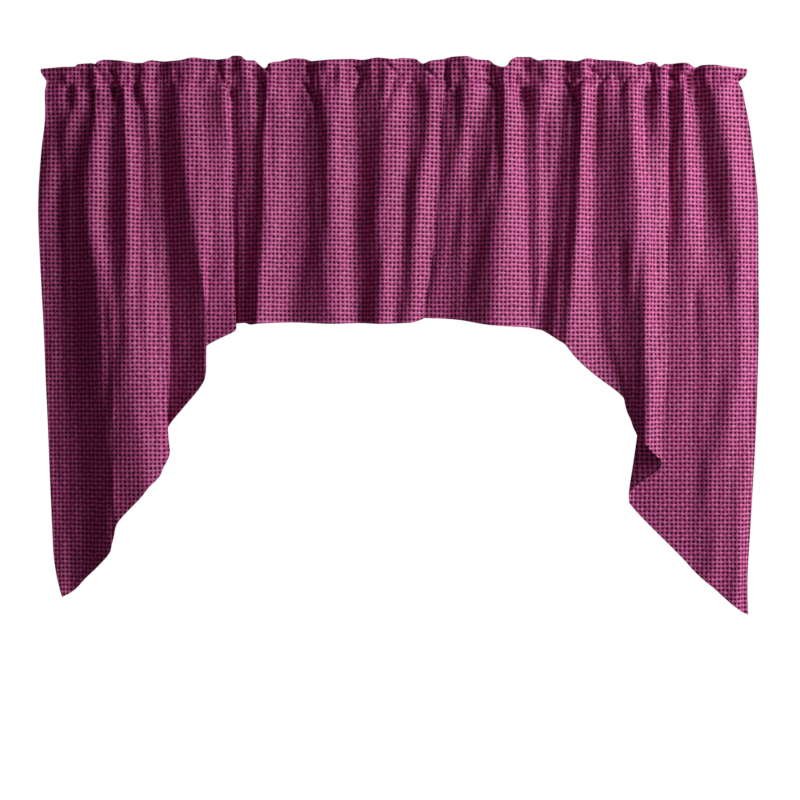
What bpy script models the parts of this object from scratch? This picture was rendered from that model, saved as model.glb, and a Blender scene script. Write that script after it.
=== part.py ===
"""Swag and tail drape: a pair of gathered cloth panels in their hung shape.

Two mirrored panels hang side by side on one rod line. Each is a single cut of
cloth: a ruffle and a rod pocket along the top, a short level hem towards the
middle, and a slanting hem down to a long outer tip. Units are metres, +Z is
up and the front faces -Y. The origin is at the top of the middle.
"""

import bpy
import numpy as np

MM = 0.001

CLOTH_THICKNESS = 2.0
RUFFLE_BOTTOM = 34.0
POCKET_BOTTOM = 85.0
SEAM_GAP = 0.5
TIP_HOOK_HEIGHT = 90.0

# The pocket: from the rod's line to a wall where the folds are deepest, how
# closely the walls follow the folds, and the drop over which the folds fall
# back below the rod. The upper stitch line: its own depth, and how closely it
# follows the folds.
POCKET_HALF_DEPTH = 15.5
POCKET_FOLLOW = 0.8
POCKET_FADE = 120.0
STITCH_DEPTH = -5.0
STITCH_FOLLOW = 0.7

# Rows of the pocket's walls: the drop, and the share of their full depth.
POCKET_ROWS = ((45.5, 0.93), (60.0, 1.0), (74.5, 0.93))
INNER_TOP = 38.0
INNER_BOTTOM = 82.0

BODY_STEPS = 3
BODY_ROWS = 9
HEADING_STEPS = 2

CLOTH_COLOUR = (0.30, 0.075, 0.20, 1.0)
HEADING_COLOUR = (0.27, 0.065, 0.18, 1.0)

# Heights below the top at which a fold line's place is given, in mm. A fold
# whose hem is above the long one's has no place at the low level.
POCKET_LEVEL = 60.0
MIDDLE_LEVEL = 250.0
LOW_LEVEL = 445.0
LONG_FOLD_HEM = 495.0

# The folds' rounding: the least space taken between two lines, how full the
# rounds are, and the share of a fold over which its slope is measured.
LEAST_SPACE = 5.0
FOLD_ROUNDNESS = 1.1
SLOPE_SHARE = 0.08

# One row for each fold line of a panel, from one side edge to the other, in
# mm. top and hem: how far the ruffle's edge and the hem lie below z = 0.
# x_pocket, x_middle, x_low, x_hem: where the line runs across at each level.
# y_pocket, y_middle, y_low, y_hem: its depth there, less than zero in front.
COLUMNS = (
    "name", "top", "hem", "x_pocket", "x_middle", "x_low", "x_hem",
    "y_pocket", "y_middle", "y_low", "y_hem",
)

LEFT_FOLDS = (
    ("outer edge", 15, 912, -599, -612, -604, -584, 8, 18, 22, 20),
    ("edge ridge", 12, 906, -545, -585, -577, -560, -8, 12, 16, 16),
    ("main valley", 7, 887, -527, -556, -553, -538, 0, 4, 10, 12),
    ("tail wall", 3, 829, -511, -520, -498, -484, -14, -14, -23, -20),
    ("tail dip", 0, 792, -486, -488, -479, -476, 0, 1, -28, -24),
    ("tail ridge", 3, 733, -464, -456, -455, -426, -14, -16, -32, -34),
    ("tail shoulder", 6, 700, -446, -437, -429, -399, -2, -2, -24, -22),
    ("tail turn", 2, 665, -428, -418, -404, -388, -10, 2, -8, 2),
    ("second valley", 3, 628, -402, -398, -384, -393, 4, 5, 5, 16),
    ("second ridge", 0, 536, -366, -348, -324, -325, -18, -24, -21, -18),
    ("second wall", -2, 492, -326, -311, -300, -330, -4, -10, -12, -2),
    ("front edge", -7, 458, -292, -282, -276, -275, -12, -1, -4, -2),
    ("behind edge", -7, 447, -280, -278, -278, -276, 2, 5, 10, 12),
    ("small ridge", -3, 446, -258, -263, -264, -260, -10, 2, 2, 2),
    ("small dip", 3, 449, -238, -245, -251, -250, 0, -4, -8, -8),
    ("third ridge", 14, 448, -221, -226, -237, -239, -14, -16, -16, -16),
    ("third valley", -3, 445, -163, -166, -180, -180, 6, 5, 6, 6),
    ("fourth ridge", 2, 448, -114, -115, -113, -113, -14, -14, -14, -14),
    ("fourth valley", -2, 446, -74, -68, -66, -66, 4, 5, 8, 8),
    ("fifth ridge", -1, 448, -17, -25, -31, -31, -15, -16, -14, -13),
    ("fifth valley", -1, 447, 24, 8, -3, -3, 3, -6, -4, -4),
    ("sixth ridge", 5, 446, 55, 34, 18, 20, -13, -14, -8, -8),
    ("inner edge", 2, 439, 75, 67, 43, 43, -3, 0, 2, 2),
)

RIGHT_FOLDS = (
    ("inner edge", 2, 437, 75.5, 51, 29, 29, 5, 10, 15, 15),
    ("first ridge", -4, 438, 115, 92, 70, 70, -15, 2, 13, 13),
    ("first valley", 2, 441, 154, 122, 106, 106, 6, -2, 6, 6),
    ("second ridge", 13, 451, 182, 174, 164, 164, -16, -23, -18, -17),
    ("second valley", -5, 454, 210, 219, 224, 224, 3, 0, 6, 6),
    ("third ridge", 2, 456, 242, 241, 233, 233, -12, -5, 8, 8),
    ("third valley", -2, 458, 282, 264, 244, 244, 8, 5, 7, 7),
    ("third wall", 0, 462, 297, 287, 269, 267, -4, -6, -6, -6),
    ("fourth ridge", 2, 480, 311, 305, 285, 274, -16, -17, -17, -15),
    ("fourth valley", 2, 575, 339, 333, 333, 384, 2, 0, 0, 4),
    ("fifth ridge", 8, 629, 385, 402, 396, 401, -18, -26, -17, -12),
    ("tail crest", 4, 656, 424, 430, 422, 424, -4, -14, -30, -29),
    ("knife edge", 10, 683, 445, 456, 457, 446, -13, 0, -14, -20),
    ("knife back", 6, 750, 463, 460, 434, 392, 2, 8, 6, 14),
    ("tail ridge", 7, 855, 484, 489, 492, 492, -12, -7, 1, 6),
    ("tail valley", 10, 899, 514, 528, 534, 539, 5, 9, -4, -3),
    ("side ridge", 12, 928, 553, 572, 577, 572, -13, -13, -9, -7),
    ("outer edge", 15, 941, 589, 611, 612, 590, 7, 4, 3, 2),
)

PANELS = {
    "left": {"folds": LEFT_FOLDS, "tip": 0, "hook": 12.0},
    "right": {"folds": RIGHT_FOLDS, "tip": -1, "hook": 4.0},
}


def column(folds, name):
    """One named column of a fold table as an array."""
    index = COLUMNS.index(name)
    return np.array([row[index] for row in folds], float)


def curve_through(places, values, at):
    """A smooth curve through the values that doesn't overshoot them."""
    places = np.asarray(places, float)
    values = np.asarray(values, float)
    step = np.diff(places)
    slope = np.diff(values) / step
    tangent = np.zeros(len(places))
    tangent[0] = slope[0]
    tangent[-1] = slope[-1]
    for i in range(1, len(places) - 1):
        if slope[i - 1] * slope[i] > 0:
            near = 2.0 * step[i] + step[i - 1]
            far = step[i] + 2.0 * step[i - 1]
            tangent[i] = (near + far) / (near / slope[i - 1] + far / slope[i])
    at = np.clip(at, places[0], places[-1])
    i = np.clip(np.searchsorted(places, at) - 1, 0, len(step) - 1)
    t = (at - places[i]) / step[i]
    start = (1.0 + 2.0 * t) * (1.0 - t) ** 2 * values[i]
    leave = t * (1.0 - t) ** 2 * step[i] * tangent[i]
    end = t * t * (3.0 - 2.0 * t) * values[i + 1]
    arrive = t * t * (t - 1.0) * step[i] * tangent[i + 1]
    return start + leave + end + arrive


def fold_lines(panel, drop):
    """Where each fold line of a panel lies, across and in depth, at one drop."""
    folds = panel["folds"]
    across = []
    depth = []
    for row in folds:
        hem = row[2]
        x_pocket, x_middle, x_low, x_hem = row[3:7]
        y_pocket, y_middle, y_low, y_hem = row[7:]
        if hem > LONG_FOLD_HEM:
            levels = (POCKET_LEVEL, MIDDLE_LEVEL, LOW_LEVEL, hem)
            places = (x_pocket, x_middle, x_low, x_hem)
            depths = (y_pocket, y_middle, y_low, y_hem)
        else:
            levels = (POCKET_LEVEL, MIDDLE_LEVEL, hem)
            places = (x_pocket, x_middle, x_hem)
            depths = (y_pocket, y_middle, y_hem)
        across.append(float(curve_through(levels, places, drop)))
        depth.append(float(curve_through(levels, depths, drop)))
    tip = panel["tip"]
    reach = (drop - (folds[tip][2] - TIP_HOOK_HEIGHT)) / TIP_HOOK_HEIGHT
    across[tip] += panel["hook"] * max(0.0, min(1.0, reach)) ** 2
    return np.array(across), np.array(depth)


def section_point(across, depth, u):
    """A point of the gathered section: u counts fold lines along the cloth."""
    step = np.maximum(np.abs(np.diff(across)), LEAST_SPACE)
    reach = np.empty(len(across))
    reach[0] = step[0]
    reach[-1] = step[-1]
    reach[1:-1] = np.minimum(step[:-1], step[1:])
    reach = reach * FOLD_ROUNDNESS
    i = int(min(max(np.floor(u), 0), len(across) - 2))
    t = u - i
    start = (1.0 + 2.0 * t) * (1.0 - t) ** 2
    leave = t * (1.0 - t) ** 2
    end = t * t * (3.0 - 2.0 * t)
    arrive = t * t * (t - 1.0)
    x = start * across[i] + end * across[i + 1]
    x += leave * reach[i] + arrive * reach[i + 1]
    y = start * depth[i] + end * depth[i + 1]
    return x, y


def section(panel, drop, places):
    """The gathered section at one drop: a row of (x, y) points."""
    across, depth = fold_lines(panel, drop)
    return np.array([section_point(across, depth, u) for u in places])


def falling_back(panel, points, drop):
    """Hold the folds out in front of the rod, and let them fall back below it."""
    deepest = column(panel["folds"], "y_pocket").max()
    share = min(1.0, max(0.0, (drop - POCKET_LEVEL) / POCKET_FADE))
    held = 1.0 - share * share * (3.0 - 2.0 * share)
    wall = -POCKET_HALF_DEPTH - POCKET_FOLLOW * (deepest - points[:, 1])
    out = points.copy()
    out[:, 1] += held * (wall - points[:, 1])
    return out


def sideways(points):
    """The unit normal of a section curve at each point, towards the front."""
    along = np.gradient(points, axis=0)
    length = np.maximum(np.linalg.norm(along, axis=1, keepdims=True), 1e-9)
    along = along / length
    return np.stack([along[:, 1], -along[:, 0]], axis=1)


def add_object(name, vertices, faces, material):
    """Make a mesh object of points in mm and give it its material."""
    mesh = bpy.data.meshes.new(name)
    points = [tuple(float(c) * MM for c in v) for v in vertices]
    mesh.from_pydata(points, [], faces)
    mesh.materials.append(material)
    mesh.validate()
    mesh.update()
    made = bpy.data.objects.new(name, mesh)
    bpy.context.scene.collection.objects.link(made)
    return made


def cloth_material(name, colour):
    """A plain rough dyed cloth."""
    made = bpy.data.materials.new(name)
    made.use_nodes = True
    shader = made.node_tree.nodes["Principled BSDF"]
    shader.inputs["Base Color"].default_value = colour
    shader.inputs["Roughness"].default_value = 0.85
    made.diffuse_color = colour
    return made


def swag_body(name, panel, material):
    """The hanging sheet of one panel, from below the pocket to its hem."""
    folds = panel["folds"]
    count = (len(folds) - 1) * BODY_STEPS + 1
    places = np.linspace(0.0, len(folds) - 1.0, count)
    hems = curve_through(np.arange(len(folds)), column(folds, "hem"), places)
    top = POCKET_BOTTOM + SEAM_GAP
    front = np.zeros((BODY_ROWS + 1, count, 3))
    back = np.zeros((BODY_ROWS + 1, count, 3))
    for row in range(BODY_ROWS + 1):
        share = row / BODY_ROWS
        for j, u in enumerate(places):
            drop = top + share * (hems[j] - top)
            near = np.array([u - SLOPE_SHARE, u, u + SLOPE_SHARE])
            near = np.clip(near, 0.0, len(folds) - 1.0)
            points = falling_back(panel, section(panel, drop, near), drop)
            out = sideways(points)[1] * CLOTH_THICKNESS / 2.0
            x, y = points[1]
            front[row, j] = (x + out[0], y + out[1], -drop)
            back[row, j] = (x - out[0], y - out[1], -drop)
    vertices = np.concatenate([front.reshape(-1, 3), back.reshape(-1, 3)])
    behind = (BODY_ROWS + 1) * count
    faces = []
    for row in range(BODY_ROWS):
        for j in range(count - 1):
            a = row * count + j
            b = a + 1
            c = a + count + 1
            d = a + count
            faces.append((a, d, c, b))
            faces.append((behind + a, behind + b, behind + c, behind + d))
    for j in range(count - 1):
        a = j
        b = j + 1
        faces.append((a, b, behind + b, behind + a))
        a = BODY_ROWS * count + j
        b = a + 1
        faces.append((a, behind + a, behind + b, b))
    for row in range(BODY_ROWS):
        a = row * count
        d = a + count
        faces.append((a, behind + a, behind + d, d))
        b = row * count + count - 1
        c = b + count
        faces.append((b, c, behind + c, behind + b))
    return add_object(name, vertices, faces, material)


def heading(name, panel, material):
    """The gathered ruffle and the open rod pocket below it, as one strip."""
    folds = panel["folds"]
    count = (len(folds) - 1) * HEADING_STEPS + 1
    places = np.linspace(0.0, len(folds) - 1.0, count)
    points = section(panel, POCKET_LEVEL, places)
    tops = curve_through(np.arange(len(folds)), column(folds, "top"), places)
    closing = falling_back(panel, section(panel, POCKET_BOTTOM, places), POCKET_BOTTOM)
    half = CLOTH_THICKNESS / 2.0
    deepest = column(folds, "y_pocket").max()
    foremost = column(folds, "y_pocket").min()
    rings = []
    for j in range(count):
        x, y = points[j]
        seam = STITCH_DEPTH + STITCH_FOLLOW * y
        close = closing[j, 1]
        ahead = -POCKET_HALF_DEPTH - POCKET_FOLLOW * (deepest - y)
        astern = POCKET_HALF_DEPTH + POCKET_FOLLOW * (y - foremost)
        outer = [(seam - half, tops[j]), (seam - half, RUFFLE_BOTTOM)]
        for drop, share in POCKET_ROWS:
            outer.append((share * ahead - half, drop))
        outer.append((close - half, POCKET_BOTTOM))
        outer.append((close + half, POCKET_BOTTOM))
        for drop, share in reversed(POCKET_ROWS):
            outer.append((share * astern + half, drop))
        outer.append((seam + half, RUFFLE_BOTTOM))
        outer.append((seam + half, tops[j]))
        inner = [(seam, INNER_TOP)]
        for drop, share in POCKET_ROWS:
            inner.append((share * ahead + half, drop))
        inner.append((close + half, INNER_BOTTOM))
        for drop, share in reversed(POCKET_ROWS):
            inner.append((share * astern - half, drop))
        rings.append([(x, py, -drop) for py, drop in outer + inner])
    size = len(rings[0])
    round_outer = 12
    vertices = [point for ring in rings for point in ring]
    faces = []
    for j in range(count - 1):
        here = j * size
        there = here + size
        for k in range(round_outer):
            n = (k + 1) % round_outer
            faces.append((here + k, here + n, there + n, there + k))
        for k in range(size - round_outer):
            n = (k + 1) % (size - round_outer)
            a = here + round_outer + k
            b = here + round_outer + n
            faces.append((a, a + size, b + size, b))
    # Each end: the ruffle, then the walls between the outside and the inside.
    cap = [
        (0, 1, 10, 11), (1, 12, 10), (1, 2, 13, 12), (2, 3, 14, 13),
        (3, 4, 15, 14), (4, 5, 16, 15), (5, 6, 16), (6, 7, 17, 16),
        (7, 8, 18, 17), (8, 9, 19, 18), (9, 10, 12, 19),
    ]
    last = (count - 1) * size
    for face in cap:
        faces.append(tuple(reversed(face)))
        faces.append(tuple(last + k for k in face))
    return add_object(name, vertices, faces, material)


def main():
    """Clear the scene and build both panels, each a heading and a swag."""
    for old in list(bpy.data.objects):
        bpy.data.objects.remove(old, do_unlink=True)
    body = cloth_material("dyed_cloth", CLOTH_COLOUR)
    strip = cloth_material("dyed_cloth_heading", HEADING_COLOUR)
    for side, panel in PANELS.items():
        heading(side + "_heading", panel, strip)
        swag_body(side + "_swag", panel, body)


main()
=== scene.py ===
"""Swag and tail drape: a pair of gathered swags in a coarse basket weave.

Two mirrored panels hang side by side from one rod line. Each is shown as two
sheets: the turned-over heading, which is a ruffle over a rod pocket, and the
hanging swag below it. Sizes are in metres in the properties and in
millimetres in the tables. The front faces -Y and +Z is up.
"""

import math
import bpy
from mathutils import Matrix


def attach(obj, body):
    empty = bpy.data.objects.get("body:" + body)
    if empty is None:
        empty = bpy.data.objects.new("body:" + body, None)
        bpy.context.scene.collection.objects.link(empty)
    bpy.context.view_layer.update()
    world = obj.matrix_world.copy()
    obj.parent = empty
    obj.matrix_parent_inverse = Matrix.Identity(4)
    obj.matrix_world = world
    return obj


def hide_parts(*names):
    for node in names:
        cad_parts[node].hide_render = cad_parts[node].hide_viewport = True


bl_info = {
    "name": "Swag and tail drape",
    "version": (1, 0, 0),
    "blender": (4, 5, 0),
    "location": "3D View > Sidebar > Drape",
    "description": "Builds a gathered pair of swags with long tails",
    "category": "Object",
}

import bpy
import numpy as np

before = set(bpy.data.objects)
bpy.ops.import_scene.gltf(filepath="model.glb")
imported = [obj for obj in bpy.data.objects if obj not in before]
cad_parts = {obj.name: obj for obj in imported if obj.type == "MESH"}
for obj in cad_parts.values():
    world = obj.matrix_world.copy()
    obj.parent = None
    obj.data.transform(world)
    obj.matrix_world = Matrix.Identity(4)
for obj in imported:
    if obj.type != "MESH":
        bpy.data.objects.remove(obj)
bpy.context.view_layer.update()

MM = 0.001

# How far below the top the fold tables' levels lie, in mm. The low level counts
# only for a fold whose hem is lower than LONG_FOLD_HEM.
POCKET_LEVEL = 60.0
MIDDLE_LEVEL = 250.0
LOW_LEVEL = 445.0
LONG_FOLD_HEM = 495.0

# The height over which a long end's point bends sideways, in mm.
TIP_HOOK_HEIGHT = 90.0

# The folds' rounding: the least space taken between two lines, in mm, and how
# full the rounds are. SHORTEST_STEP keeps a step of no length from being
# divided by.
LEAST_SPACE = 5.0
FOLD_ROUNDNESS = 1.1
SHORTEST_STEP = 1e-9

# The pocket and ruffle, lengths in mm: how far below the rod the folds take to fall
# back, how closely the pocket and the stitches follow the folds, the stitch
# line's own depth, how much the ruffle spreads towards its edge, and how much
# lower the edge is drawn than its table says, since the ruffle stands forward.
POCKET_FADE = 120.0
POCKET_FOLLOW = 0.8
STITCH_DEPTH = -11.0
STITCH_FOLLOW = 0.55
RUFFLE_FLARE = 0.12
EDGE_DROP = 1.7

# The outer end of a panel, in mm: how far in from the end its shape reaches,
# where below the stitches it is narrowest, how soon it widens again above and
# below that, and the height over which the ruffle's end flares.
END_REACH = 16.0
WAIST_DROP = 4.0
WAIST_ABOVE = 5.0
WAIST_BELOW = 14.0
FLARE_HEIGHT = 14.0

# The left panel's inner edge laps over the right one's, in mm: how far in it
# reaches, the drop over which it ends, and its shift across and forwards. The
# edge waves a little as it goes down.
LAP_REACH = 12.0
LAP_FADE = 60.0
LAP_ACROSS = 3.0
LAP_FORWARD = 2.0
LAP_WAVE = 1.5
LAP_WAVE_DROP = 7.0

# The heading's back layer, in mm: its gap behind the ruffle, how full the
# pocket's back is (less is squarer), how far the two layers of the ruffle
# part, and how far the top fold rises and lies back.
LAYER_GAP = 1.2
POCKET_BACK_POWER = 0.55
RUFFLE_LOFT = 0.9
TOP_FOLD_RISE = 0.8
TOP_FOLD_BACK = 0.6

# The turned-up hem, in mm: how much fuller it is, where and how widely.
HEM_FULLNESS = 0.5
HEM_MIDDLE = 5.0
HEM_REACH = 9.0

# The sheets' grids: mm between columns, how finely a fold is measured, the two
# drops at which the cloth's length is measured, and how many rows.
COLUMN_SPACING = 3.05
STEPS_IN_A_FOLD = 24
MEASURED_DROPS = (90.0, 400.0)
SWAG_ROWS = 158
POCKET_ROWS = 19
RUFFLE_ROWS = 13
SMOOTH_ANGLE = math.radians(62.0)

# The weave's threads hang upright: how far they follow the view rather than
# the cloth's own length, from 0 to 1, and how much fuller the cloth is than its
# width.
WEAVE_EVENING = 0.86
FULLNESS = 1.13

# One row for each fold line of a panel, from one side edge to the other, in
# mm. hem: how far the hem lies below z = 0.
# x_pocket, x_middle, x_low, x_hem: where the line runs across at each level.
# y_pocket, y_middle, y_low, y_hem: its depth there, less than zero in front.
FOLD_COLUMNS = (
    "name", "hem", "x_pocket", "x_middle", "x_low", "x_hem",
    "y_pocket", "y_middle", "y_low", "y_hem",
)

LEFT_FOLDS = (
    ("outer edge", 912, -599, -612, -604, -584, 6, 13, 16, 17),
    ("edge ridge", 906, -545, -585, -577, -560, -8, 12, 16, 16),
    ("main valley", 887, -527, -556, -553, -538, 0, 4, 10, 12),
    ("tail wall", 829, -511, -520, -498, -484, -14, -14, -23, -20),
    ("tail dip", 792, -486, -488, -479, -476, 0, 1, -28, -24),
    ("tail ridge", 733, -464, -456, -455, -426, -14, -16, -32, -34),
    ("tail shoulder", 700, -446, -437, -429, -399, -2, -2, -24, -22),
    ("tail turn", 665, -428, -418, -404, -388, -10, 2, -8, 2),
    ("second valley", 628, -402, -398, -384, -393, 4, 5, 5, 16),
    ("second ridge", 536, -366, -348, -324, -325, -18, -24, -21, -18),
    ("second wall", 492, -326, -311, -300, -330, -4, -10, -12, -2),
    ("front edge", 458, -292, -282, -276, -275, -12, -1, -4, -2),
    ("behind edge", 447, -280, -278, -278, -276, 2, 5, 10, 12),
    ("small ridge", 446, -258, -263, -264, -260, -10, 2, 2, 2),
    ("small dip", 449, -238, -245, -251, -250, 0, -4, -8, -8),
    ("third ridge", 448, -221, -226, -237, -239, -14, -16, -16, -16),
    ("third valley", 445, -163, -166, -180, -180, 6, 5, 6, 6),
    ("fourth ridge", 448, -114, -115, -113, -113, -14, -14, -14, -14),
    ("fourth valley", 446, -74, -68, -66, -66, 4, 5, 8, 8),
    ("fifth ridge", 448, -17, -25, -31, -31, -15, -16, -14, -13),
    ("fifth valley", 447, 24, 8, -3, -3, 3, -6, -4, -4),
    ("sixth ridge", 446, 55, 34, 18, 20, -13, -14, -8, -8),
    ("inner edge", 439, 75, 67, 43, 43, -3, 0, 2, 2),
)

RIGHT_FOLDS = (
    ("inner edge", 437, 75.5, 51, 29, 29, 5, 10, 15, 15),
    ("first ridge", 438, 115, 92, 70, 70, -15, 2, 13, 13),
    ("first valley", 441, 154, 122, 106, 106, 6, -2, 6, 6),
    ("second ridge", 451, 182, 174, 164, 164, -16, -23, -18, -17),
    ("second valley", 454, 210, 219, 224, 224, 3, 0, 6, 6),
    ("third ridge", 456, 242, 241, 233, 233, -12, -5, 8, 8),
    ("third valley", 458, 282, 264, 244, 244, 8, 5, 7, 7),
    ("third wall", 473, 297, 287, 269, 268, -4, -6, -6, -6),
    ("fourth ridge", 486, 311, 305, 287, 285, -16, -17, -17, -15),
    ("fourth valley", 575, 339, 333, 340, 384, 2, 0, 0, 4),
    ("fifth ridge", 629, 385, 402, 396, 401, -18, -26, -17, -12),
    ("tail crest", 656, 424, 428, 417, 421, -4, -14, -30, -29),
    ("knife edge", 683, 445, 456, 457, 446, -13, 0, -14, -20),
    ("knife back", 750, 463, 460, 434, 392, 2, 8, 6, 14),
    ("tail ridge", 855, 482, 489, 492, 492, -12, -7, 1, 6),
    ("tail valley", 899, 503, 528, 534, 539, 7, 9, -4, -3),
    ("side ridge", 928, 539, 571, 577, 572, -15, -13, -9, -7),
    ("outer edge", 941, 589, 611, 612, 590, 7, 4, 3, 2),
)

# The ruffle's edge, one row for each bump, dip and notch from left to right:
# x, and how far it lies below z = 0, in mm.
LEFT_EDGE = (
    (-603, 16), (-563, 13), (-546, 13), (-541, 9), (-521, 7), (-511, 9),
    (-507, 5), (-492, 1), (-456, 5), (-433, 7), (-416, 2), (-388, 4),
    (-368, 3), (-346, -2), (-309, 1), (-289, 0), (-279, -6), (-266, -5),
    (-256, 3), (-244, 2), (-236, 8), (-226, 16), (-219, 9), (-207, 5),
    (-200, 4), (-175, -2), (-158, -1), (-146, 3), (-104, 1), (-78, -1),
    (-59, 1), (-36, -2), (-8, 1), (9, -2), (29, -1), (42, 8), (54, 4),
    (76, 0),
)

RIGHT_EDGE = (
    (74, 0), (94, -4), (116, -4), (134, 1), (153, 1), (164, 9), (178, 14),
    (185, 11), (190, 3), (204, -4), (221, -4), (238, 3), (255, 1), (280, 1),
    (303, 4), (323, -1), (340, 1), (365, 3), (388, 6), (407, 10), (416, 8),
    (422, 5), (433, 6), (438, 10), (441, 14), (450, 9), (473, 7), (492, 8),
    (503, 13), (514, 10), (529, 10), (555, 13), (592, 16),
)

# tip: which end of the table is the long one. hook: how far its point bends
# towards +X, in mm. inward: the side on which the middle lies. waist and flare:
# how far the outer end draws in at the stitches and spreads above them, in mm.
# settle: how far it draws in lower down, at which drop and over what height.
# seed: starts the random sizes of the small gathers and the slow unevenness.
PANELS = {
    "left": {
        "folds": LEFT_FOLDS, "edge": LEFT_EDGE, "tip": 0, "hook": 12.0,
        "inward": 1.0, "waist": 3.5, "flare": 6.0,
        "settle": (4.5, 96.0, 40.0), "seed": 11,
    },
    "right": {
        "folds": RIGHT_FOLDS, "edge": RIGHT_EDGE, "tip": -1, "hook": 4.0,
        "inward": -1.0, "waist": 9.0, "flare": 3.0,
        "settle": (5.0, 64.0, 36.0), "seed": 29,
    },
}

# Gathers and creases, listed one by one, in mm. x and drop: the upper end.
# length: how far it runs down. lean: sideways run for each mm of drop. width:
# half its width. height: above zero stands out, below zero sinks in.
CREASE_COLUMNS = ("x", "drop", "length", "lean", "width", "height")

CREASES = {
    "left": (
        (-579, 100, 620, 0.03, 11, -5.5),
        (-557, 42, 64, 0.05, 10, -11.0),
        (-543, 16, 20, 0.60, 6, -3.0),
        (-519, 46, 90, -0.05, 6, -11.0),
        (-514, 50, 54, 0.15, 10, -7.0),
        (-513, 10, 30, 0.68, 4.5, -7.0),
        (-488, 18, 20, 0.80, 4.5, -6.0),
        (-485, 42, 52, 0.40, 7, -13.0),
        (-471, 46, 140, -0.04, 8, -5.5),
        (-462, 42, 80, 0.10, 5, 3.0),
        (-444, 42, 52, 0.18, 5, -9.0),
        (-436, 14, 18, 0.05, 4, -3.5),
        (-429, 70, 190, -0.02, 10, -6.0),
        (-385, 38, 120, 0.02, 8, -4.5),
        (-350, 4, 34, 0.10, 9, 3.5),
        (-344, 160, 260, 0.00, 10, -3.0),
        (-306, 2, 44, 0.05, 8, -4.5),
        (-290, 40, 40, 0.42, 4, -9.0),
        (-287, 110, 360, 0.03, 7, -3.0),
        (-284, 18, 22, -0.25, 3.5, -5.0),
        (-263, 2, 26, 0.10, 9, 4.0),
        (-258, 44, 150, 0.00, 7, -3.5),
        (-247, 16, 28, 0.00, 5, -4.0),
        (-229, 40, 100, -0.05, 5, -8.0),
        (-224, 12, 22, 0.45, 4, -6.0),
        (-218, 60, 190, 0.00, 9, -5.0),
        (-160, 38, 48, 0.52, 5, -10.0),
        (-156, 84, 90, 0.00, 8, -4.0),
        (-153, 5, 36, -0.18, 4.5, -7.5),
        (-140, 56, 90, 0.02, 7, -6.0),
        (-131, 110, 230, 0.00, 8, -3.0),
        (-120, 4, 32, -0.10, 8, 3.0),
        (-95, 10, 70, 0.08, 9, 2.2),
        (-72, 11, 20, 0.55, 4.5, -6.5),
        (-62, 26, 46, -0.35, 5, -8.0),
        (-45, 2, 30, -0.15, 8, 3.5),
        (-19, 7, 24, 0.90, 5, -7.5),
        (-3, 28, 76, -0.30, 5.5, -6.5),
        (14, 200, 250, -0.02, 9, -4.0),
        (16, 38, 34, 0.00, 3.5, -6.0),
        (36, 40, 150, 0.00, 8, -3.0),
        (47, 16, 22, 0.90, 4.5, -6.0),
    ),
    "right": (
        (92, 4, 32, -0.15, 8, 3.5),
        (97, 40, 130, 0.00, 7, -8.0),
        (102, 42, 30, -1.30, 5, 3.5),
        (124, 100, 240, -0.02, 9, -4.0),
        (140, 8, 26, 0.60, 7, -5.0),
        (144, 34, 28, 1.20, 5, -6.0),
        (169, 46, 200, -0.02, 6.5, -9.0),
        (198, 2, 30, 0.10, 7, 3.5),
        (209, 44, 60, 0.12, 8, -11.0),
        (214, 6, 30, 0.00, 8, -6.0),
        (238, 6, 34, -0.20, 7, -4.0),
        (250, 80, 290, 0.00, 10, -7.0),
        (283, 36, 42, 0.40, 5, -9.0),
        (284, 6, 34, 0.00, 5, -6.0),
        (295, 52, 110, 0.00, 7, -8.0),
        (316, 32, 24, -0.95, 4.5, -6.0),
        (322, 10, 22, 0.90, 5, -7.0),
        (335, 40, 190, 0.00, 8, -5.0),
        (352, 30, 24, -0.80, 4, -4.0),
        (373, 30, 90, 0.00, 11, -8.0),
        (377, 300, 200, 0.00, 9, -4.0),
        (388, 30, 30, -0.50, 5, -5.0),
        (400, 10, 22, 0.50, 6, -4.0),
        (416, 34, 160, 0.03, 12, -11.0),
        (425, 12, 22, 0.10, 6, -8.0),
        (432, 190, 420, 0.03, 10, -6.0),
        (446, 6, 24, 0.15, 5, 3.0),
        (460, 20, 26, 0.50, 4.5, -7.0),
        (462, 46, 84, 0.02, 4.5, -9.0),
        (485, 6, 26, 0.10, 7, 3.0),
        (488, 20, 84, 0.28, 11, -10.0),
        (503, 18, 24, -0.50, 4.5, -6.0),
        (503, 380, 260, 0.03, 10, -3.0),
        (521, 170, 220, 0.00, 9, -3.0),
        (563, 44, 60, 0.10, 8, -4.0),
        (572, 24, 26, 0.20, 7, -6.0),
    ),
}

# Every crease: its width at its upper and lower end as shares of the table's,
# how quickly it sets in, how far it has set in at its upper end, and where it
# has faded away, in shares of its length.
CREASE_WIDTH_ABOVE = 0.8
CREASE_WIDTH_BELOW = 1.4
CREASE_START_SPEED = 5.0
CREASE_START = 0.3
CREASE_END = 1.15

# The small gathers at the stitches: the least and most of each, sizes in mm.
# height is a share of the pucker height in the sizes. Then where the first one
# lies, how much wider they get with each mm from the stitches, and how suddenly
# they fade.
PUCKERS = {
    "height": (0.45, 1.0), "width": (3.2, 6.5), "lean": (-0.30, 0.30),
    "fade": (14.0, 38.0), "spacing": (8.0, 18.0),
}
FIRST_PUCKER = 4.0
PUCKER_SPREAD = 0.12
PUCKER_FADE_POWER = 1.5

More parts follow.
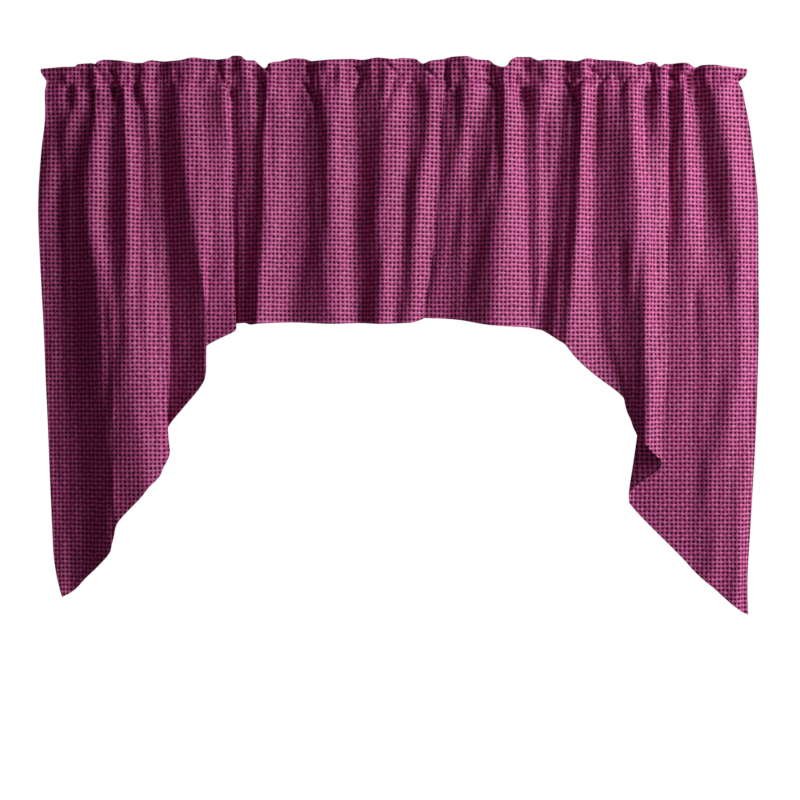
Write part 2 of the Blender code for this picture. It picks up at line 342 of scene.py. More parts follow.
# The slow unevenness of the whole cloth: how many waves, and the least and most
# of each one's size across and down in mm and of its lean. Then their least
# height and what the widest has above it, in mm, how their seed differs from
# the small gathers', and the drop over which they set in.
RIPPLE_COUNT = 14
RIPPLES = {"wide": (24.0, 90.0), "tall": (120.0, 420.0), "lean": (-0.3, 0.3)}
RIPPLE_HEIGHT = 0.1
RIPPLE_EXTRA_HEIGHT = 0.35
RIPPLE_SEED_STEP = 5
RIPPLE_START = 80.0

# The weave's pits: their least size and what chance adds to it, as shares of
# the given size, their height for their width, how many sizes from the middle
# their edge lies, and how sharp it is.
PIT_LEAST = 0.86
PIT_CHANCE = 0.28
PIT_FLATNESS = 0.96
PIT_EDGE = 1.35
PIT_SHARPNESS = 1.8

# The yarns: how steeply the ones across and the ones down rise from the pits,
# how sharp the crown on every second crossing is, and what the crowns and the
# fuzz add to the height.
YARN_ACROSS = 2.6
YARN_DOWN = 1.4
CROWN_SHARPNESS = 9.0
CROWN_HEIGHT = 0.28
FUZZ_HEIGHT = 0.25

# Paleness: what the yarns' roundness, the crowns, the slow unevenness and the
# fuzz each add to it. The roundness and the crowns paint highlight on the yarn
# tops and the raised crossings; the slow unevenness and the fuzz give the yarn's
# own random tone.
HIGHLIGHT_FROM_YARN = 0.65
HIGHLIGHT_FROM_CROWN = 0.45
PALE_FROM_SLOW = 0.45
PALE_FROM_FUZZ = 0.5

# Noise scales for the threads' wandering, the fuzz and the slow unevenness.
WANDER_SCALE = 55.0
FUZZ_SCALE = 900.0
SLOW_SCALE = 120.0

# The cloth's surface: its roughness on the yarn and what a pit adds to it,
# how much it shines, and the relief of the weave.
YARN_ROUGHNESS = 0.54
PIT_ROUGHNESS = 0.42
CLOTH_SPECULAR = 0.38
BUMP_STRENGTH = 0.8
BUMP_DEPTH = 0.0011

# Soft lamps: name, place, size in m, power in W and colour. The fill and the
# surroundings have the tint of light that bounces among the folds.
LAMPS = (
    ("key", (2.85, -1.55, 0.55), 1.9, 150.0, (1.0, 0.99, 0.98)),
    ("behind", (-1.4, 3.6, 0.9), 2.2, 34.0, (1.0, 0.97, 0.97)),
    ("fill", (-1.6, -3.9, 0.4), 2.2, 11.0, (1.0, 0.30, 0.70)),
)
LAMP_TARGET = (0.0, 0.0, -0.4)
SURROUNDINGS = (1.0, 0.34, 0.72, 1.0)
SURROUNDINGS_STRENGTH = 0.035
BACKDROP = (1.0, 1.0, 1.0, 1.0)

# The floor and the camera, in metres, and the sensor's width in mm. The shot's
# width is taken at the rod's line.
FLOOR_SIZE = 4.0
FLOOR_LEVEL = -2.5
FLOOR_COLOUR = (0.86, 0.86, 0.86, 1.0)
FLOOR_ROUGHNESS = 0.9
CAMERA_DISTANCE = 4.0
CAMERA_X = 0.0034
CAMERA_Z = -0.5766
SHOT_WIDTH = 1.3568
SENSOR_WIDTH = 36.0
VIEW_END = 50.0

# Nodes are laid out in rows of this many, this far apart.
NODES_IN_A_ROW = 8
NODE_SPACING = 220.0


class DrapeSizes(bpy.types.PropertyGroup):
    """Sizes of the cloth and its heading."""

    thickness: bpy.props.FloatProperty(
        name="Cloth thickness", description="Thickness of one layer of cloth",
        default=0.0014, unit="LENGTH")
    ruffle_bottom: bpy.props.FloatProperty(
        name="Ruffle", description="Drop from the top to the upper stitch line",
        default=0.034, unit="LENGTH")
    pocket_bottom: bpy.props.FloatProperty(
        name="Pocket", description="Drop from the top to the lower stitch line",
        default=0.085, unit="LENGTH")
    pocket_half_depth: bpy.props.FloatProperty(
        name="Pocket half depth", description="From the rod's line to a wall",
        default=0.0150, unit="LENGTH")
    pucker: bpy.props.FloatProperty(
        name="Pucker height", description="Height of the gathers at the stitches",
        default=0.0032, unit="LENGTH")
    cut_width: bpy.props.FloatProperty(
        name="Cut width", description="Width of each panel before gathering",
        default=0.762, unit="LENGTH")
    cut_length: bpy.props.FloatProperty(
        name="Cut length", description="Length of each panel at its outer side",
        default=0.914, unit="LENGTH")
    inner_length: bpy.props.FloatProperty(
        name="Inner length", description="Length of each panel at its inner side",
        default=0.446, unit="LENGTH")
    level_hem: bpy.props.FloatProperty(
        name="Level hem", description="Width of the level part of the hem, laid flat",
        default=0.36, unit="LENGTH")


class DrapeCloth(bpy.types.PropertyGroup):
    """Colours and scale of the weave."""

    yarn: bpy.props.FloatVectorProperty(
        name="Yarn", description="Colour of the yarn in even light",
        subtype="COLOR", default=(0.345, 0.004, 0.140), min=0, max=1)
    # Painted highlight: the pale colour lies on the yarn tops and the raised crossings where
    # light would catch them, and slow and fine noise add some of it at random as the yarn's own
    # tone.
    highlight_and_tone: bpy.props.FloatVectorProperty(
        name="Pale yarn", description="Colour of the worn tops of the yarn",
        subtype="COLOR", default=(0.66, 0.215, 0.435), min=0, max=1)
    # Painted shade: the gaps between the yarns are coloured near black for the shade down in
    # them.
    pit: bpy.props.FloatVectorProperty(
        name="Pit", description="Colour down between the yarns",
        subtype="COLOR", default=(0.016, 0.0004, 0.006), min=0, max=1)
    pitch_across: bpy.props.FloatProperty(
        name="Pitch across", description="Width of one yarn and its gap",
        default=0.0077, unit="LENGTH")
    pitch_down: bpy.props.FloatProperty(
        name="Pitch down", description="Height of one yarn and its gap",
        default=0.0074, unit="LENGTH")
    pit_size: bpy.props.FloatProperty(
        name="Pit size", description="Size of a pit as a share of the pitch",
        default=0.25, min=0, max=1, subtype="FACTOR")
    unevenness: bpy.props.FloatProperty(
        name="Unevenness", description="How far the threads wander, in pitches",
        default=0.28, min=0, max=1, subtype="FACTOR")


def column(folds, name):
    """One named column of a fold table as an array."""
    index = FOLD_COLUMNS.index(name)
    return np.array([row[index] for row in folds], float)


def curve_through(places, values, at):
    """A smooth curve through the values that doesn't overshoot them."""
    places = np.asarray(places, float)
    values = np.asarray(values, float)
    step = np.diff(places)
    slope = np.diff(values) / step
    tangent = np.zeros(len(places))
    tangent[0] = slope[0]
    tangent[-1] = slope[-1]
    for i in range(1, len(places) - 1):
        if slope[i - 1] * slope[i] > 0:
            near = 2.0 * step[i] + step[i - 1]
            far = step[i] + 2.0 * step[i - 1]
            tangent[i] = (near + far) / (near / slope[i - 1] + far / slope[i])
    at = np.clip(at, places[0], places[-1])
    i = np.clip(np.searchsorted(places, at) - 1, 0, len(step) - 1)
    t = (at - places[i]) / step[i]
    start = (1.0 + 2.0 * t) * (1.0 - t) ** 2 * values[i]
    leave = t * (1.0 - t) ** 2 * step[i] * tangent[i]
    end = t * t * (3.0 - 2.0 * t) * values[i + 1]
    arrive = t * t * (t - 1.0) * step[i] * tangent[i + 1]
    return start + leave + end + arrive


def smooth(t):
    """A soft step from 0 to 1."""
    t = np.clip(t, 0.0, 1.0)
    return t * t * (3.0 - 2.0 * t)


def hump(distance, width):
    """A soft hump: 1 at no distance, and nearly 0 past twice its width."""
    return np.exp(-((distance / width) ** 2))


def fold_lines(panel, drop):
    """Each fold line's place across and in depth over a whole grid of drops."""
    folds = panel["folds"]
    across = np.zeros((len(folds),) + drop.shape)
    depth = np.zeros_like(across)
    for k, row in enumerate(folds):
        fold = dict(zip(FOLD_COLUMNS, row))
        levels = {"pocket": POCKET_LEVEL, "middle": MIDDLE_LEVEL}
        if fold["hem"] > LONG_FOLD_HEM:
            levels["low"] = LOW_LEVEL
        levels["hem"] = fold["hem"]
        drops = list(levels.values())
        across[k] = curve_through(drops, [fold["x_" + name] for name in levels], drop)
        depth[k] = curve_through(drops, [fold["y_" + name] for name in levels], drop)
    tip = panel["tip"]
    start = column(folds, "hem")[tip] - TIP_HOOK_HEIGHT
    reach = np.clip((drop - start) / TIP_HOOK_HEIGHT, 0.0, 1.0)
    across[tip] += panel["hook"] * reach ** 2
    return across, depth


def gathered(panel, places, drop):
    """The gathered cloth's (x, y) on a grid: places counts fold lines."""
    across, depth = fold_lines(panel, drop)
    step = np.maximum(np.abs(np.diff(across, axis=0)), LEAST_SPACE)
    reach = np.empty_like(across)
    reach[0] = step[0]
    reach[-1] = step[-1]
    reach[1:-1] = np.minimum(step[:-1], step[1:])
    reach = reach * FOLD_ROUNDNESS
    i = np.clip(np.floor(places).astype(int), 0, len(across) - 2)
    t = places - i
    columns = np.arange(len(places))
    x0 = across[i, :, columns].T
    x1 = across[i + 1, :, columns].T
    y0 = depth[i, :, columns].T
    y1 = depth[i + 1, :, columns].T
    leave = reach[i, :, columns].T
    arrive = reach[i + 1, :, columns].T
    x = (1.0 + 2.0 * t) * (1.0 - t) ** 2 * x0 + t * t * (3.0 - 2.0 * t) * x1
    x += t * (1.0 - t) ** 2 * leave + t * t * (t - 1.0) * arrive
    y = y0 + (y1 - y0) * t * t * (3.0 - 2.0 * t)
    return x, y


def fold_places(panel, spacing):
    """Columns spaced evenly along the cloth: places among the fold lines, mm."""
    spaces = len(panel["folds"]) - 1
    fine = np.linspace(0.0, spaces, spaces * STEPS_IN_A_FOLD + 1)
    drop = np.array(MEASURED_DROPS)[:, None] + np.zeros(len(fine))
    x, y = gathered(panel, fine, drop)
    length = np.hypot(np.diff(x, axis=1), np.diff(y, axis=1)).mean(0)
    along = np.concatenate([[0.0], np.cumsum(length)])
    count = int(round(along[-1] / spacing)) + 1
    even = np.linspace(0.0, along[-1], count)
    return np.interp(even, along, fine), even


def drawn_in(panel, drop, stitch):
    """How far the outer end draws in at each drop, in mm."""
    gone = drop - stitch - WAIST_DROP
    draw = panel["waist"] * hump(gone, np.where(gone < 0.0, WAIST_ABOVE, WAIST_BELOW))
    draw = draw - panel["flare"] * smooth((stitch - drop) / FLARE_HEIGHT)
    amount, level, height = panel["settle"]
    return draw + amount * hump(drop - level, height)


def front_layer(panel, places, even, drop, sizes):
    """The front layer on a grid: gathered folds that come off the rod's front."""
    stitch = sizes.ruffle_bottom / MM
    rod = 0.5 * (stitch + sizes.pocket_bottom / MM)
    x, y = gathered(panel, places, drop)
    deepest = column(panel["folds"], "y_pocket").max()
    wall = -sizes.pocket_half_depth / MM - POCKET_FOLLOW * (deepest - y)
    seam = STITCH_DEPTH + STITCH_FOLLOW * y
    over = np.sin(0.5 * math.pi * np.clip((drop - stitch) / (rod - stitch), 0.0, 1.0))
    fade = 1.0 - smooth((drop - rod) / POCKET_FADE)
    y = np.where(drop < rod, seam + over * (wall - seam), y + fade * (wall - y))
    # Above the stitches the ruffle leans out a little towards its edge.
    y = y * (1.0 + RUFFLE_FLARE * smooth((stitch - drop) / stitch))
    # The outer end draws in at the stitches and flares above them.
    from_start = even
    from_end = even[-1] - even
    outer, inner = (from_start, from_end) if panel["tip"] == 0 else (from_end, from_start)
    x = x + panel["inward"] * drawn_in(panel, drop, stitch) * hump(outer, END_REACH)
    # At the middle the left panel's edge lies just in front of the right's.
    if panel["inward"] > 0.0:
        close = hump(inner, LAP_REACH) * (1.0 - smooth((drop - rod) / LAP_FADE))
        x = x + close * (LAP_ACROSS + LAP_WAVE * np.sin(drop / LAP_WAVE_DROP))
        y = y - LAP_FORWARD * close
    return x, y


def outward(x, y):
    """The level unit normal towards the front at each grid point."""
    dx = np.gradient(x, axis=1)
    dy = np.gradient(y, axis=1)
    length = np.maximum(np.hypot(dx, dy), SHORTEST_STEP)
    return dy / length, -dx / length


def pucker_field(panel, even, drop, line):
    """Small gathers that start at a stitch line and fade away from it."""
    pick = np.random.RandomState(panel["seed"])
    total = np.zeros_like(drop)
    gone = np.abs(drop - line)
    place = FIRST_PUCKER
    while place < even[-1]:
        height = pick.uniform(*PUCKERS["height"]) * pick.choice([-1.0, 1.0], p=[0.5, 0.5])
        width = pick.uniform(*PUCKERS["width"])
        lean = pick.uniform(*PUCKERS["lean"])
        fade = pick.uniform(*PUCKERS["fade"])
        middle = place + lean * (drop - line)
        ridge = hump(even - middle, width + PUCKER_SPREAD * gone)
        total += height * ridge * np.exp(-((gone / fade) ** PUCKER_FADE_POWER))
        place += pick.uniform(*PUCKERS["spacing"])
    return total


def ripple(panel, even, drop):
    """Very low, slow unevenness over the whole cloth."""
    pick = np.random.RandomState(panel["seed"] + RIPPLE_SEED_STEP)
    widest = RIPPLES["wide"][1]
    total = np.zeros_like(drop)
    for _ in range(RIPPLE_COUNT):
        wide = pick.uniform(*RIPPLES["wide"])
        tall = pick.uniform(*RIPPLES["tall"])
        turn = pick.uniform(0.0, 2.0 * math.pi)
        lean = pick.uniform(*RIPPLES["lean"])
        size = RIPPLE_EXTRA_HEIGHT * wide / widest + RIPPLE_HEIGHT
        phase = (even + lean * drop) / wide + drop / tall
        total += size * np.sin(2.0 * math.pi * phase + turn)
    return total


def crease_field(side, x, drop):
    """The listed gathers and creases on one panel."""
    total = np.zeros_like(x)
    for row in CREASES[side]:
        crease = dict(zip(CREASE_COLUMNS, row))
        gone = drop - crease["drop"]
        share = gone / crease["length"]
        middle = crease["x"] + crease["lean"] * gone
        spread = (CREASE_WIDTH_BELOW - CREASE_WIDTH_ABOVE) * np.clip(share, 0.0, 1.0)
        width = crease["width"] * (CREASE_WIDTH_ABOVE + spread)
        begin = smooth(CREASE_START_SPEED * share + CREASE_START)
        total += crease["height"] * hump(x - middle, width) * begin * smooth(CREASE_END - share)
    return total


def relief(side, panel, even, x, drop, sizes):
    """How far the cloth stands out from its plain folds, in mm."""
    stitch = sizes.ruffle_bottom / MM
    total = sizes.pucker / MM * pucker_field(panel, even, drop, stitch)
    total += ripple(panel, even, drop) * smooth((drop - stitch) / RIPPLE_START)
    return total + crease_field(side, x, drop)


def cloth_coordinates(x, even):
    """A coordinate across the cloth whose threads hang nearly upright."""
    return (1.0 - WEAVE_EVENING) * even + WEAVE_EVENING * FULLNESS * x


def sheet_object(name, x, y, z, across, down, thickness, material):
    """A thickened sheet shaped from a flat grid, with its weave's own UV map."""
    rows, columns = x.shape
    bpy.ops.object.select_all(action="DESELECT")
    bpy.ops.mesh.primitive_grid_add(
        x_subdivisions=columns - 1, y_subdivisions=rows - 1, size=1.0,
        calc_uvs=True, location=(0.0, 0.0, 0.0))
    piece = bpy.context.object
    piece.name = name
    mesh = piece.data
    mesh.name = name
    points = np.stack([x, y, z], axis=2)[::-1].reshape(-1, 3) * MM
    mesh.vertices.foreach_set("co", points.astype(np.float32).ravel())
    uv = np.stack([across, -down], axis=2)[::-1].reshape(-1, 2) * MM
    loops = np.zeros(len(mesh.loops), np.int32)
    mesh.loops.foreach_get("vertex_index", loops)
    layer = mesh.uv_layers.active
    layer.name = "weave"
    layer.data.foreach_set("uv", uv[loops].astype(np.float32).ravel())
    mesh.update()
    bpy.ops.object.modifier_add(type="SOLIDIFY")
    wall = piece.modifiers[-1]
    wall.thickness = thickness
    wall.offset = 0.0
    wall.use_even_offset = False
    wall.use_rim = True
    bpy.ops.object.modifier_apply(modifier=wall.name)
    bpy.ops.object.shade_smooth_by_angle(angle=SMOOTH_ANGLE)
    mesh.materials.append(material)
    return piece


def swag(side, panel, sizes, material):
    """The hanging cloth of one panel, from the lower stitch line to the hem."""
    folds = panel["folds"]
    places, even = fold_places(panel, COLUMN_SPACING)
    hem = curve_through(np.arange(len(folds)), column(folds, "hem"), places)
    top = sizes.pocket_bottom / MM
    share = np.linspace(0.0, 1.0, SWAG_ROWS)[:, None]
    drop = top + share * (hem - top)
    x, y = front_layer(panel, places, even, drop, sizes)
    across = cloth_coordinates(x, even)
    nx, ny = outward(x, y)
    lift = relief(side, panel, even, x, drop, sizes)
    # The hem is turned up twice, so its last strip is a little fuller.
    lift += HEM_FULLNESS * smooth(1.0 - np.abs(hem - drop - HEM_MIDDLE) / HEM_REACH)
    x = x + nx * lift
    y = y + ny * lift
    return sheet_object(
        side + "_swag_cloth", x, y, -drop, across, drop,
        sizes.thickness, material)


def heading(side, panel, sizes, material):
    """The turned-over top: pocket front, ruffle, its fold and back, pocket back."""
    places, even = fold_places(panel, COLUMN_SPACING)
    stitch = sizes.ruffle_bottom / MM
    bottom = sizes.pocket_bottom / MM
    seam_x = gathered(panel, places, np.full((1, len(places)), stitch))[0][0]
    edge = np.array(panel["edge"], float)
    top = curve_through(edge[:, 0], edge[:, 1], seam_x) + EDGE_DROP
    pocket = np.linspace(bottom, stitch, POCKET_ROWS)[:, None] + 0.0 * top
    share = np.linspace(0.0, 1.0, RUFFLE_ROWS)[1:, None]
    front = np.concatenate([pocket, stitch + share * (top - stitch)])
    x, y = front_layer(panel, places, even, front, sizes)
    across = cloth_coordinates(x, even)
    nx, ny = outward(x, y)
    lift = relief(side, panel, even, x, front, sizes)
    x = x + nx * lift
    y = y + ny * lift
    # The back layer: close behind the ruffle, then round the rod's back and
    # forward again to the lower stitch line.
    behind_y = y + LAYER_GAP
    turn = np.sin(math.pi * (pocket - stitch) / (bottom - stitch))
    turn = np.clip(turn, 0.0, 1.0) ** POCKET_BACK_POWER
    foremost = column(panel["folds"], "y_pocket").min()
    folded = gathered(panel, places, pocket)[1]
    wall = sizes.pocket_half_depth / MM + POCKET_FOLLOW * (folded - foremost)
    behind_y[:POCKET_ROWS] += turn * (wall - behind_y[:POCKET_ROWS])
    behind_y[POCKET_ROWS:] += RUFFLE_LOFT * np.sin(math.pi * share)
    top_fold = front[-1:] - TOP_FOLD_RISE
    x = np.concatenate([x, x[-1:], x[::-1]])
    y = np.concatenate([y, y[-1:] + TOP_FOLD_BACK, behind_y[::-1]])
    drop = np.concatenate([front, top_fold, front[::-1]])
    across = np.concatenate([across, across[-1:], across[::-1]])
    # The weave runs over the top fold and on down the back.
    down = np.concatenate([front, top_fold, 2.0 * top_fold - front[::-1]])
    return sheet_object(
        side + "_heading_cloth", x[::-1], y[::-1], -drop[::-1],
        across[::-1], down[::-1], sizes.thickness, material)


def node(tree, kind, **values):
    """Add a node in the next place of the layout and set its plain properties."""
    row, place = divmod(len(tree.nodes), NODES_IN_A_ROW)
    made = tree.nodes.new(kind)
    made.location = (place * NODE_SPACING, -row * NODE_SPACING)
    for key, value in values.items():
        setattr(made, key, value)
    return made


def maths(tree, operation, *values, clamp=False):
    """A maths node whose inputs are numbers or other nodes' values."""
    made = node(tree, "ShaderNodeMath", operation=operation)
    made.use_clamp = clamp
    for socket, value in zip(made.inputs, values):
        if isinstance(value, Value):
            tree.links.new(value.socket, socket)
        else:
            socket.default_value = value
    return Value(tree, made.outputs[0])


class Value:
    """A number that a node puts out. Arithmetic on it adds maths nodes."""

    def __init__(self, tree, socket):
        self.tree = tree
        self.socket = socket

    def __add__(self, other):
        return maths(self.tree, "ADD", self, other)

    def __sub__(self, other):
        return maths(self.tree, "SUBTRACT", self, other)

    def __rsub__(self, other):
        return maths(self.tree, "SUBTRACT", other, self)

    def __mul__(self, other):
        return maths(self.tree, "MULTIPLY", self, other)

    def __truediv__(self, other):
        return maths(self.tree, "DIVIDE", self, other)


def parts(tree, socket):
    """The three numbers of a vector or colour."""
    split = node(tree, "ShaderNodeSeparateXYZ")
    tree.links.new(socket, split.inputs[0])
    return [Value(tree, out) for out in split.outputs]


def noise(tree, place, scale, detail):
    """Flat noise over the cloth."""
    made = node(tree, "ShaderNodeTexNoise", noise_dimensions="2D")
    made.inputs["Scale"].default_value = scale
    made.inputs["Detail"].default_value = detail
    tree.links.new(place, made.inputs["Vector"])
    return made


def mixed(tree, share, first, second):
    """Two colours mixed by a number."""
    made = node(tree, "ShaderNodeMix", data_type="RGBA")
    tree.links.new(share.socket, made.inputs["Factor"])
    tree.links.new(first, made.inputs["A"])
    tree.links.new(second, made.inputs["B"])
    return made.outputs["Result"]


def weave_sockets(tree):
    """The coarse weave's inputs and outputs."""
    kinds = {
        "INPUT": (
            ("Place", "Vector"), ("Pitch Across", "Float"), ("Pitch Down", "Float"),
            ("Pit Size", "Float"), ("Unevenness", "Float"), ("Yarn", "Color"),
            ("Pale Yarn", "Color"), ("Pit", "Color"),
        ),
        "OUTPUT": (("Colour", "Color"), ("Height", "Float"), ("Roughness", "Float")),
    }
    for way, sockets in kinds.items():
        for name, kind in sockets:
            tree.interface.new_socket(name, in_out=way, socket_type="NodeSocket" + kind)


def weave_pits(tree, given, a, b, fa, fb):
    """A pit between four crossings, each a little different in size."""
    cell = node(tree, "ShaderNodeCombineXYZ")
    tree.links.new(maths(tree, "FLOOR", a).socket, cell.inputs[0])
    tree.links.new(maths(tree, "FLOOR", b).socket, cell.inputs[1])
    chance = node(tree, "ShaderNodeTexWhiteNoise", noise_dimensions="2D")
    tree.links.new(cell.outputs[0], chance.inputs["Vector"])
    luck = parts(tree, chance.outputs["Color"])[0]
    size = Value(tree, given.outputs["Pit Size"]) * (luck * PIT_CHANCE + PIT_LEAST)
    ea = fa / size
    eb = fb / (size * PIT_FLATNESS)
    far = maths(tree, "SQRT", ea * ea + eb * eb)
    return maths(tree, "MULTIPLY", PIT_EDGE - far, PIT_SHARPNESS, clamp=True)


def weave_crowns(tree, a, b, fa, fb):
    """Yarns go over and under by turns, so every second crossing stands out."""
    crossing = maths(tree, "FLOOR", a + 0.5) + maths(tree, "FLOOR", b + 0.5)
    odd = maths(tree, "MODULO", maths(tree, "ABSOLUTE", crossing), 2.0)
    ga = 0.5 - maths(tree, "ABSOLUTE", fa)
    gb = 0.5 - maths(tree, "ABSOLUTE", fb)
    far = (ga * ga + gb * gb) * CROWN_SHARPNESS
    return maths(tree, "SUBTRACT", 1.0, far, clamp=True) * (1.0 - odd)


def coarse_weave_group():
    """A node group for a coarse plain weave: yarns, gaps and their shading."""
    tree = bpy.data.node_groups.new("coarse_weave", "ShaderNodeTree")
    weave_sockets(tree)
    given = node(tree, "NodeGroupInput")
    out = node(tree, "NodeGroupOutput")
    place = given.outputs["Place"]
    across, down = parts(tree, place)[:2]
    # Threads wander a little from their straight lines.
    wander = parts(tree, noise(tree, place, WANDER_SCALE, 1.0).outputs["Color"])
    uneven = Value(tree, given.outputs["Unevenness"])
    a = across / Value(tree, given.outputs["Pitch Across"]) + (wander[0] - 0.5) * uneven
    b = down / Value(tree, given.outputs["Pitch Down"]) + (wander[1] - 0.5) * uneven
    fa = maths(tree, "FRACT", a) - 0.5
    fb = maths(tree, "FRACT", b) - 0.5
    pit = weave_pits(tree, given, a, b, fa, fb)
    crown = weave_crowns(tree, a, b, fa, fb)
    round_yarn = fb * fb * YARN_ACROSS + fa * fa * YARN_DOWN
    fuzz = Value(tree, noise(tree, place, FUZZ_SCALE, 2.0).outputs[0]) - 0.5
    slow = Value(tree, noise(tree, place, SLOW_SCALE, 1.0).outputs[0]) - 0.5
    high = round_yarn + crown * CROWN_HEIGHT + fuzz * FUZZ_HEIGHT - pit
    # Painted highlight: the yarn tops and the raised crossings take the paler colour as if lit;
    # the slow and fine noise add the yarn's own random tone.
    highlight_and_tone = round_yarn * HIGHLIGHT_FROM_YARN + crown * HIGHLIGHT_FROM_CROWN + slow * PALE_FROM_SLOW
    highlight_and_tone = maths(tree, "ADD", highlight_and_tone, fuzz * PALE_FROM_FUZZ, clamp=True)
    yarn = mixed(tree, highlight_and_tone, given.outputs["Yarn"], given.outputs["Pale Yarn"])
    # Painted shade: the pits take the near-black pit colour.
    colour = mixed(tree, pit, yarn, given.outputs["Pit"])
    # The pits scatter light more than the smooth tops of the yarn.
    rough = pit * PIT_ROUGHNESS + YARN_ROUGHNESS
    tree.links.new(colour, out.inputs["Colour"])
    tree.links.new(high.socket, out.inputs["Height"])
    tree.links.new(rough.socket, out.inputs["Roughness"])
    return tree


def cloth_material(name, cloth):
    """The dyed basket weave."""
    made = bpy.data.materials.new(name)
    made.use_nodes = True
    tree = made.node_tree
    shader = tree.nodes["Principled BSDF"]
    place = node(tree, "ShaderNodeUVMap", uv_map="weave")
    weave = node(tree, "ShaderNodeGroup")
    weave.node_tree = coarse_weave_group()
    tree.links.new(place.outputs[0], weave.inputs["Place"])
    weave.inputs["Pitch Across"].default_value = cloth.pitch_across
    weave.inputs["Pitch Down"].default_value = cloth.pitch_down
    weave.inputs["Pit Size"].default_value = cloth.pit_size
    weave.inputs["Unevenness"].default_value = cloth.unevenness
    weave.inputs["Yarn"].default_value = (*cloth.yarn, 1.0)
    weave.inputs["Pale Yarn"].default_value = (*cloth.highlight_and_tone, 1.0)
    weave.inputs["Pit"].default_value = (*cloth.pit, 1.0)
    bump = node(tree, "ShaderNodeBump")
    bump.inputs["Strength"].default_value = BUMP_STRENGTH
    bump.inputs["Distance"].default_value = BUMP_DEPTH
    tree.links.new(weave.outputs["Height"], bump.inputs["Height"])
    tree.links.new(weave.outputs["Colour"], shader.inputs["Base Color"])
    tree.links.new(weave.outputs["Roughness"], shader.inputs["Roughness"])
    tree.links.new(bump.outputs[0], shader.inputs["Normal"])
    shader.inputs["Specular IOR Level"].default_value = CLOTH_SPECULAR
    return made


def shared_material(cloth):
    """The cloth's material, made once."""
    found = bpy.data.materials.get("basket_weave_cloth")
    return found if found else cloth_material("basket_weave_cloth", cloth)


def make_swag(side):
    sizes = bpy.context.scene.drape_sizes
    cloth = bpy.context.scene.drape_cloth
    piece = swag(side, PANELS[side], sizes, shared_material(cloth))
    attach(piece, "root")
    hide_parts(side + "_swag")


def make_heading(side):
    sizes = bpy.context.scene.drape_sizes
    cloth = bpy.context.scene.drape_cloth
    piece = heading(side, PANELS[side], sizes, shared_material(cloth))
    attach(piece, "root")
    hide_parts(side + "_heading")


class DRAPE_OT_left_panel(bpy.types.Operator):
    """Make the left panel: its heading and its hanging swag"""

    bl_idname = "drape.left_panel"
    bl_label = "Left panel"

    def execute(self, context):
        make_heading("left")
        make_swag("left")
        return {"FINISHED"}


class DRAPE_OT_right_panel(bpy.types.Operator):
    """Make the right panel: its heading and its hanging swag"""

    bl_idname = "drape.right_panel"
    bl_label = "Right panel"

    def execute(self, context):
        make_heading("right")
        make_swag("right")
        return {"FINISHED"}


def pale_floor():
    """The plain floor, well below the drape."""
    bpy.ops.object.select_all(action="DESELECT")
    bpy.ops.mesh.primitive_plane_add(size=FLOOR_SIZE, location=(0.0, 0.0, FLOOR_LEVEL))
    floor = bpy.context.object
    floor.name = "pale_floor"
    paint = bpy.data.materials.new("pale_floor")
    paint.use_nodes = True
    shader = paint.node_tree.nodes["Principled BSDF"]
    shader.inputs["Base Color"].default_value = FLOOR_COLOUR
    shader.inputs["Roughness"].default_value = FLOOR_ROUGHNESS
    floor.data.materials.append(paint)


def soft_light(name, place, size, power, colour):
    """A large soft lamp that faces the drape."""
    lamp = bpy.data.lights.new(name, "AREA")
    lamp.shape = "DISK"
    lamp.size = size
    lamp.energy = power
    lamp.color = colour
    made = bpy.data.objects.new(name, lamp)
    bpy.context.scene.collection.objects.link(made)
    made.location = place
    toward = np.array(LAMP_TARGET) - np.array(place)
    toward = toward / np.linalg.norm(toward)
    yaw = math.atan2(toward[1], toward[0]) - math.pi / 2.0
    pitch = math.asin(toward[2])
    made.rotation_euler = (math.pi / 2.0 + pitch, 0.0, yaw)


def surroundings(scene):
    """White to the camera, and a faint tint to everything else."""
    world = bpy.data.worlds.new("studio")
    scene.world = world
    world.use_nodes = True
    tree = world.node_tree
    tree.nodes.clear()
    seen = node(tree, "ShaderNodeBackground")
    seen.inputs["Color"].default_value = BACKDROP
    seen.inputs["Strength"].default_value = 1.0
    around = node(tree, "ShaderNodeBackground")
    around.inputs["Color"].default_value = SURROUNDINGS
    around.inputs["Strength"].default_value = SURROUNDINGS_STRENGTH
    ray = node(tree, "ShaderNodeLightPath")
    mix = node(tree, "ShaderNodeMixShader")
    end = node(tree, "ShaderNodeOutputWorld")
    tree.links.new(ray.outputs["Is Camera Ray"], mix.inputs[0])
    tree.links.new(around.outputs[0], mix.inputs[1])
    tree.links.new(seen.outputs[0], mix.inputs[2])
    tree.links.new(mix.outputs[0], end.inputs["Surface"])


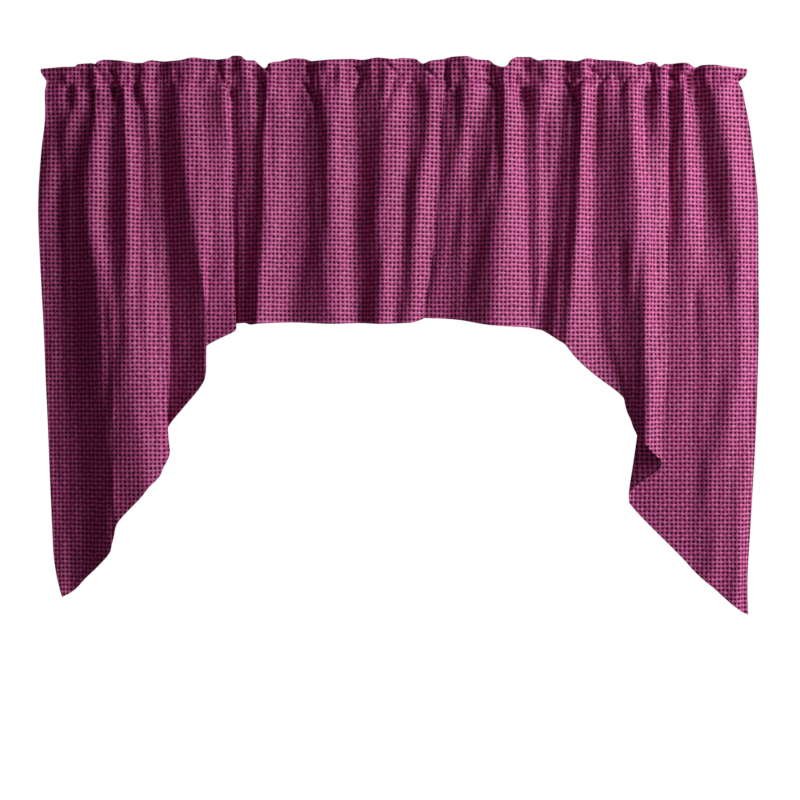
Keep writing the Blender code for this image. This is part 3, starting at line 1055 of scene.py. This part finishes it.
def square_camera(scene):
    """A camera that looks at the drape square on."""
    eye = bpy.data.cameras.new("camera")
    eye.sensor_width = SENSOR_WIDTH
    eye.lens = SENSOR_WIDTH * CAMERA_DISTANCE / SHOT_WIDTH
    eye.clip_end = VIEW_END
    camera = bpy.data.objects.new("camera", eye)
    scene.collection.objects.link(camera)
    camera.location = (CAMERA_X, -CAMERA_DISTANCE, CAMERA_Z)
    camera.rotation_euler = (math.pi / 2.0, 0.0, 0.0)
    scene.camera = camera


class DRAPE_OT_stage(bpy.types.Operator):
    """Set the floor, the lights, the surroundings and the camera"""

    bl_idname = "drape.stage"
    bl_label = "Stage"

    def execute(self, context):
        scene = context.scene
        pale_floor()
        for lamp in LAMPS:
            soft_light(*lamp)
        surroundings(scene)
        square_camera(scene)
        scene.view_settings.view_transform = "Standard"
        scene.view_settings.look = "None"
        return {"FINISHED"}


class DRAPE_PT_sidebar(bpy.types.Panel):
    """Lists the drape's sizes, colours and steps"""

    bl_label = "Swag and tail drape"
    bl_idname = "DRAPE_PT_sidebar"
    bl_space_type = "VIEW_3D"
    bl_region_type = "UI"
    bl_category = "Drape"

    def draw(self, context):
        layout = self.layout
        for group in (context.scene.drape_sizes, context.scene.drape_cloth):
            for name in group.bl_rna.properties.keys():
                if name not in ("rna_type", "name"):
                    layout.prop(group, name)
        layout.operator("drape.left_panel")
        layout.operator("drape.right_panel")
        layout.operator("drape.stage")


CLASSES = (
    DrapeSizes, DrapeCloth, DRAPE_OT_left_panel, DRAPE_OT_right_panel,
    DRAPE_OT_stage, DRAPE_PT_sidebar,
)


def register():
    """Register the classes and hang the properties on the scene."""
    for kind in CLASSES:
        bpy.utils.register_class(kind)
    bpy.types.Scene.drape_sizes = bpy.props.PointerProperty(type=DrapeSizes)
    bpy.types.Scene.drape_cloth = bpy.props.PointerProperty(type=DrapeCloth)


def unregister():
    """Take the properties and classes away again."""
    del bpy.types.Scene.drape_cloth
    del bpy.types.Scene.drape_sizes
    for kind in reversed(CLASSES):
        bpy.utils.unregister_class(kind)


def main():
    """Build the drape and its stage."""
    register()
    bpy.ops.drape.stage()
    bpy.ops.drape.left_panel()
    bpy.ops.drape.right_panel()


if __name__ == "__main__":
    main()
